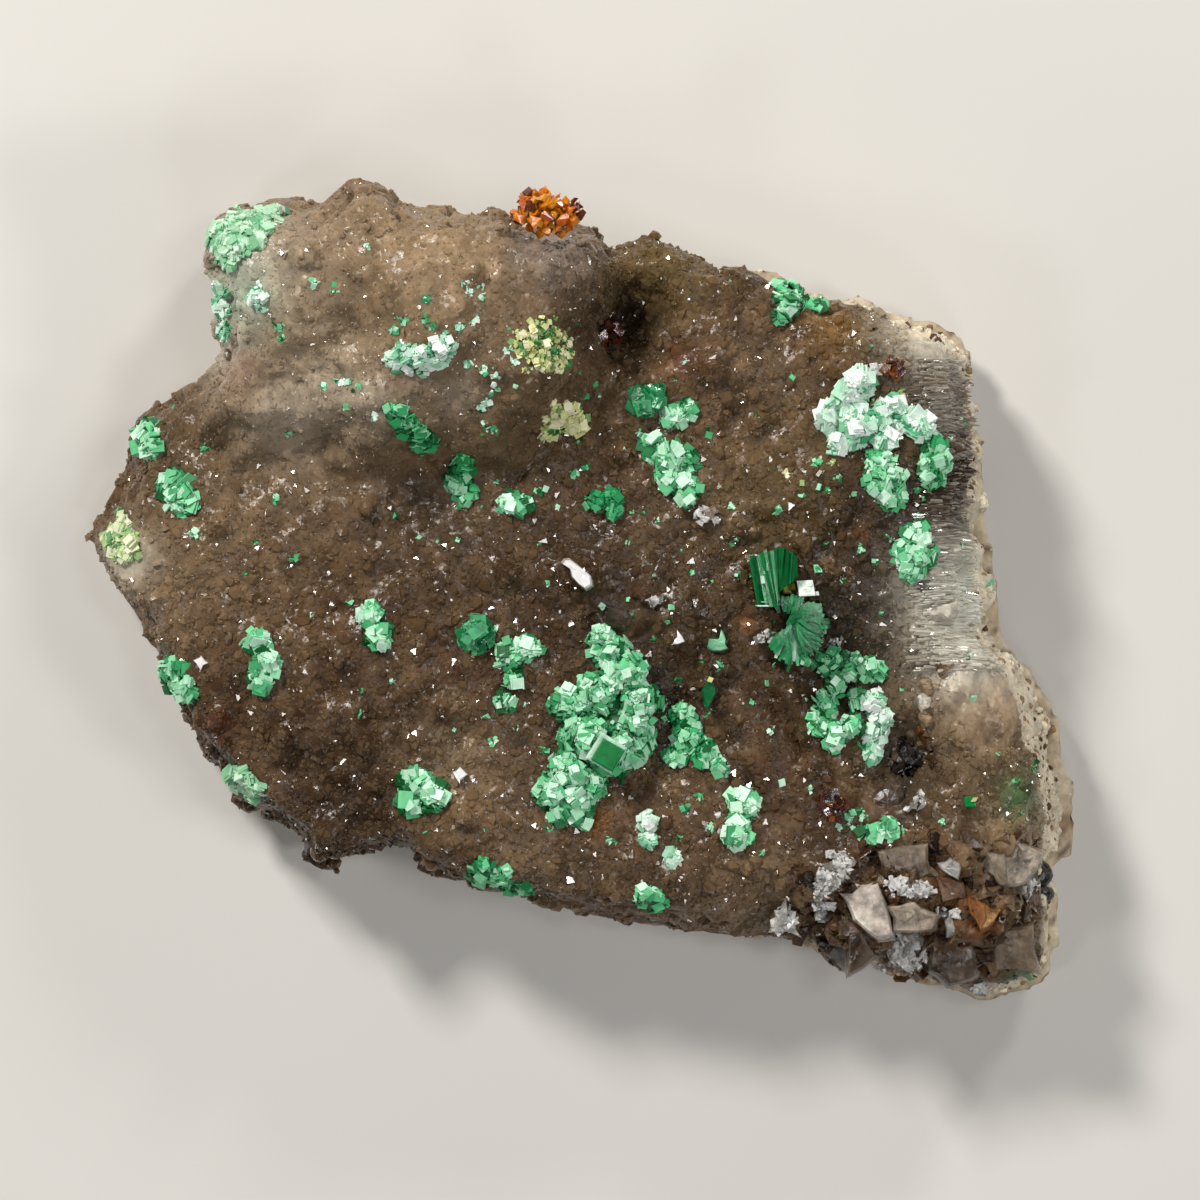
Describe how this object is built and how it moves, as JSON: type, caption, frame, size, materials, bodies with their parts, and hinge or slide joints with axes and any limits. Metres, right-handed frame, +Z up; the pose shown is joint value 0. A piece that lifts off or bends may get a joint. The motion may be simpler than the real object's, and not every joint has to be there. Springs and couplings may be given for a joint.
{
  "type": "torbernite specimen on smoky quartz",
  "caption": "Hand specimen of green torbernite crystals on a brown drusy quartz crust with a beige rind, lying on its flat back.",
  "frame": {"origin": "on the flat base, under the middle of the specimen's bounding box", "axes": "+Z up out of the base towards the crystals, +X along the longest side, from the pointed left end to the right corner, +Y towards the edge with the raised mound"},
  "size_m": [0.04, 0.0336, 0.0131],
  "materials": {
    "host_rock": "dull, grainy and beige, with brown specks",
    "smoky_quartz": "brown translucent quartz, sugary with small glassy points",
    "torbernite_deep": "glassy, deep emerald green",
    "torbernite_pale": "pearly, mint green to whitish",
    "torbernite_yellowed": "pearly pale green over cream yellow",
    "iron_oxide_orange": "glassy amber orange",
    "iron_oxide_red": "resinous dark red brown",
    "black_oxide": "smoky black, half glossy"
  },
  "bodies": {
    "root": {"host_rock_rind": "host_rock", "smoky_quartz_crust": "smoky_quartz", "torbernite_book": "torbernite_deep", "torbernite_sheaf": "torbernite_deep", "torbernite_main_rosette": "torbernite_pale", "torbernite_rosette_side_lobe": "torbernite_pale", "torbernite_hollow_crust": "torbernite_deep", "torbernite_hollow_pale_column": "torbernite_pale", "torbernite_upper_right_crust": "torbernite_pale", "torbernite_ragged_crust": "torbernite_pale", "torbernite_pendant_bud": "torbernite_deep", "torbernite_right_wall_rosette": "torbernite_pale", "torbernite_centre_crust": "torbernite_pale", "torbernite_centre_crust_top": "torbernite_pale", "torbernite_small_book": "torbernite_deep", "torbernite_top_edge_crust": "torbernite_pale", "torbernite_corner_patch": "torbernite_pale", "torbernite_bluff_crust": "torbernite_pale", "torbernite_mound_crust": "torbernite_pale", "torbernite_yellow_crust": "torbernite_yellowed", "torbernite_gold_rimmed_crust": "torbernite_yellowed", "torbernite_overhang_buds": "torbernite_deep", "torbernite_vug_crust": "torbernite_deep", "torbernite_flat_crust": "torbernite_pale", "torbernite_dark_group": "torbernite_deep", "torbernite_left_patch": "torbernite_pale", "torbernite_left_rim_patch": "torbernite_pale", "torbernite_tip_patch": "torbernite_yellowed", "torbernite_left_edge_bud": "torbernite_deep", "torbernite_left_arc": "torbernite_pale", "torbernite_lower_left_rim": "torbernite_pale", "torbernite_round_bud": "torbernite_deep", "torbernite_west_pair": "torbernite_pale", "torbernite_forked_crust": "torbernite_pale", "torbernite_lower_patch": "torbernite_pale", "torbernite_front_edge_crust": "torbernite_deep", "torbernite_front_crust": "torbernite_pale", "torbernite_hourglass": "torbernite_pale", "torbernite_blade_group": "torbernite_pale", "torbernite_wedge": "torbernite_pale", "torbernite_ledge_crust": "torbernite_pale", "orange_iron_oxide": "iron_oxide_orange", "red_brown_grain_upper": "iron_oxide_red", "red_brown_grain_lower": "iron_oxide_red", "rust_in_crevice": "iron_oxide_red", "black_oxide_mass": "black_oxide"}
  },
  "joints": []
}
